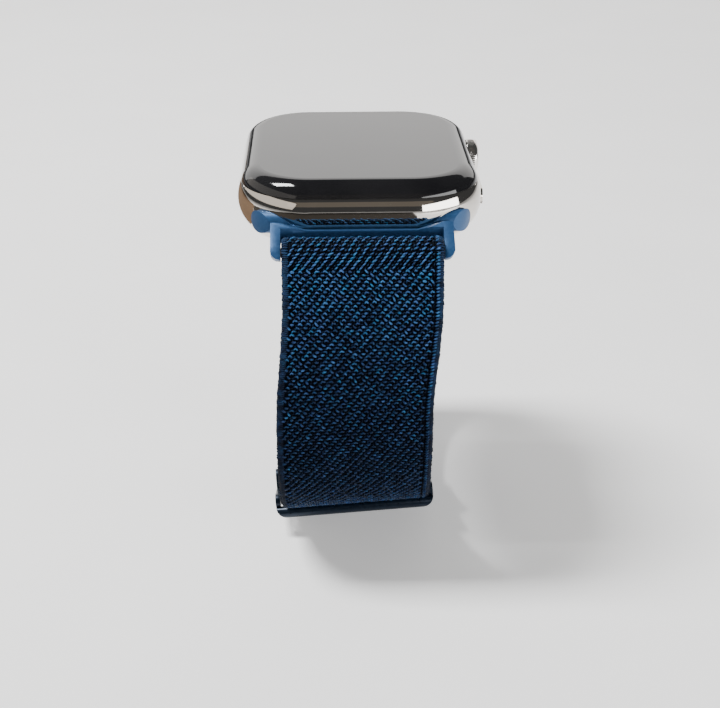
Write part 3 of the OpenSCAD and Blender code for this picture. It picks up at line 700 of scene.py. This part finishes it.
def crown():
    """The crown: a finely ridged rim with a rolled edge and a groove round its flat face."""
    face, back = cap_high[0], cap_low[0]
    # Each point is how far below the flat face it lies, then its radius
    hub = [(face - back, 1.25), (face - back, 2.68), (2.06, 2.7)]
    rim = [(2.04, 2.86), (1.95, 2.97), (1.82, 3.0), (1.7, 3.03), (1.2, 3.03), (0.75, 3.03),
           (0.62, 3.0), (0.45, 2.96), (0.3, 2.86), (0.2, 2.72)]
    groove = [(0.17, 2.58), (0.22, 2.48), (0.26, 2.42), (0.22, 2.35), (0.1, 2.28)]
    disc = [(0.03, 2.15), (0, 1.9), (0, 1.2), (0, 0.5)]
    profile = hub + rim + groove + disc
    ridges, per_ridge, ridge_depth = 56, 6, 0.07
    ridged_from, ridged_to = 0.7, 1.75
    n = ridges * per_ridge
    verts = []
    for below, r in profile:
        depth = ridge_depth if ridged_from < below < ridged_to else 0
        for k in range(n):
            a = 2 * math.pi * k / n
            rr = r - depth * (0.5 + 0.5 * math.cos(2 * math.pi * k / per_ridge)) ** 2
            verts.append((face - below, CROWN_Y + rr * math.cos(a), CROWN_Z + rr * math.sin(a)))
    faces = []
    for i in range(len(profile) - 1):
        for k in range(n):
            j = (k + 1) % n
            faces.append([i * n + k, i * n + j, (i + 1) * n + j, (i + 1) * n + k])
    faces.append(list(range(n - 1, -1, -1)))
    faces.append([(len(profile) - 1) * n + k for k in range(n)])
    piece("crown_knob", verts, faces, crown_steel, "crown",
          replaces=["crown_cap"], sharp=50)


crown()
eased("case_body", "case_shell", "case", 0.1, steel, 2)
eased("side_button", "side_button_key", "side_button", 0.25, steel)

# ---------------------------------------------------------------- camera, lights and floor
AZ, EL, DISTANCE = math.radians(-1.698), math.radians(24.228), 236.6
TARGET = Vector((0, -13.32, -20.11))
forward = Vector((-math.sin(AZ) * math.cos(EL), math.cos(AZ) * math.cos(EL), -math.sin(EL)))
cam = bpy.data.cameras.new("camera")
cam.sensor_width = 36
cam.lens = 73
cam.clip_start = 0.01
cam.clip_end = 50
camera = bpy.data.objects.new("camera", cam)
camera.location = (TARGET - DISTANCE * forward) * MM
camera.rotation_euler = forward.to_track_quat("-Z", "Y").to_euler()
bpy.context.scene.collection.objects.link(camera)
bpy.context.scene.camera = camera

# How low the object reaches, in m
low_z = min(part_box(n)[0][2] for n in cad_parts)


def card(name, place, aim, size, power, colour=(1, 1, 1)):
    """A soft rectangular light of a size in mm, at a place and aimed at a point in mm."""
    data = bpy.data.lights.new(name, "AREA")
    data.shape = "RECTANGLE"
    data.size, data.size_y = size[0] * MM, size[1] * MM
    data.energy = power
    data.color = colour
    obj = bpy.data.objects.new(name, data)
    obj.location = Vector(place) * MM
    obj.rotation_euler = (Vector(aim) - Vector(place)).to_track_quat("-Z", "Y").to_euler()
    bpy.context.scene.collection.objects.link(obj)


card("card behind", (0, 560, 250), (0, 0, 10), (1300, 420), 3.1, (1, 0.98, 0.96))
card("key left", (-330, 20, 620), (0, 0, 0), (170, 260), 9.0)
card("soft right", (385, -323, 72), (0, 0, 5), (580, 165), 2.2)
card("soft left", (-480, -90, 190), (0, 0, 5), (1300, 250), 0.95, (1, 0.93, 0.84))
card("soft front", (0, -900, 375), (0, 0, 5), (1400, 290), 0.15, (1, 0.83, 0.64))


def low_card(name, outline, low, high):
    """A card that lies on the floor, and is seen only in what the object reflects: a painted
    reflection.
    """
    mesh = bpy.data.meshes.new(name)
    mesh.from_pydata([(x, y, 0) for x, y in outline], [], [list(range(len(outline)))])
    mesh.materials.append(surface(name, low, high, (0.8, 0.9), 30))
    obj = bpy.data.objects.new(name, mesh)
    obj.location.z = low_z + 0.0004
    obj.visible_camera = obj.visible_diffuse = obj.visible_shadow = False
    bpy.context.scene.collection.objects.link(obj)


# Painted reflections: in front and on the left the polished metal and the lug reflect a dark card
# and a brown card, not the floor
low_card("dark reflection card", [(-0.7, -1.2), (0.12, -1.2), (0.03, -0.026), (-0.06, -0.026), (-0.085, 0.01),
                       (-0.5, 0.05)], (0.010, 0.007, 0.004), (0.014, 0.010, 0.006))
low_card("brown reflection card", [(-0.501, 0.051), (-0.086, 0.011), (-0.055, 0.06), (-0.25, 0.9), (-1.4, 0.9)],
         (0.12, 0.072, 0.038), (0.15, 0.092, 0.05))

world = bpy.data.worlds.new("studio")
world.use_nodes = True
world.node_tree.nodes["Background"].inputs["Color"].default_value = (0.95, 0.97, 1.0, 1)
world.node_tree.nodes["Background"].inputs["Strength"].default_value = 0.06
bpy.context.scene.world = world

# How far the floor spreads each way, in m
SPAN = 4.0
floor_mesh = bpy.data.meshes.new("floor")
floor_mesh.from_pydata([(-SPAN, -SPAN, 0), (SPAN, -SPAN, 0), (SPAN, SPAN, 0), (-SPAN, SPAN, 0)],
                       [], [(0, 1, 2, 3)])
floor = bpy.data.objects.new("floor", floor_mesh)
floor.location.z = low_z - 0.0002
floor_mesh.materials.append(surface("pale floor", (0.9, 0.9, 0.9), (0.93, 0.93, 0.93),
                                    (0.8, 0.9), 30, Emission_Color=(1, 1, 1, 1),
                                    Emission_Strength=0.3))
bpy.context.scene.collection.objects.link(floor)
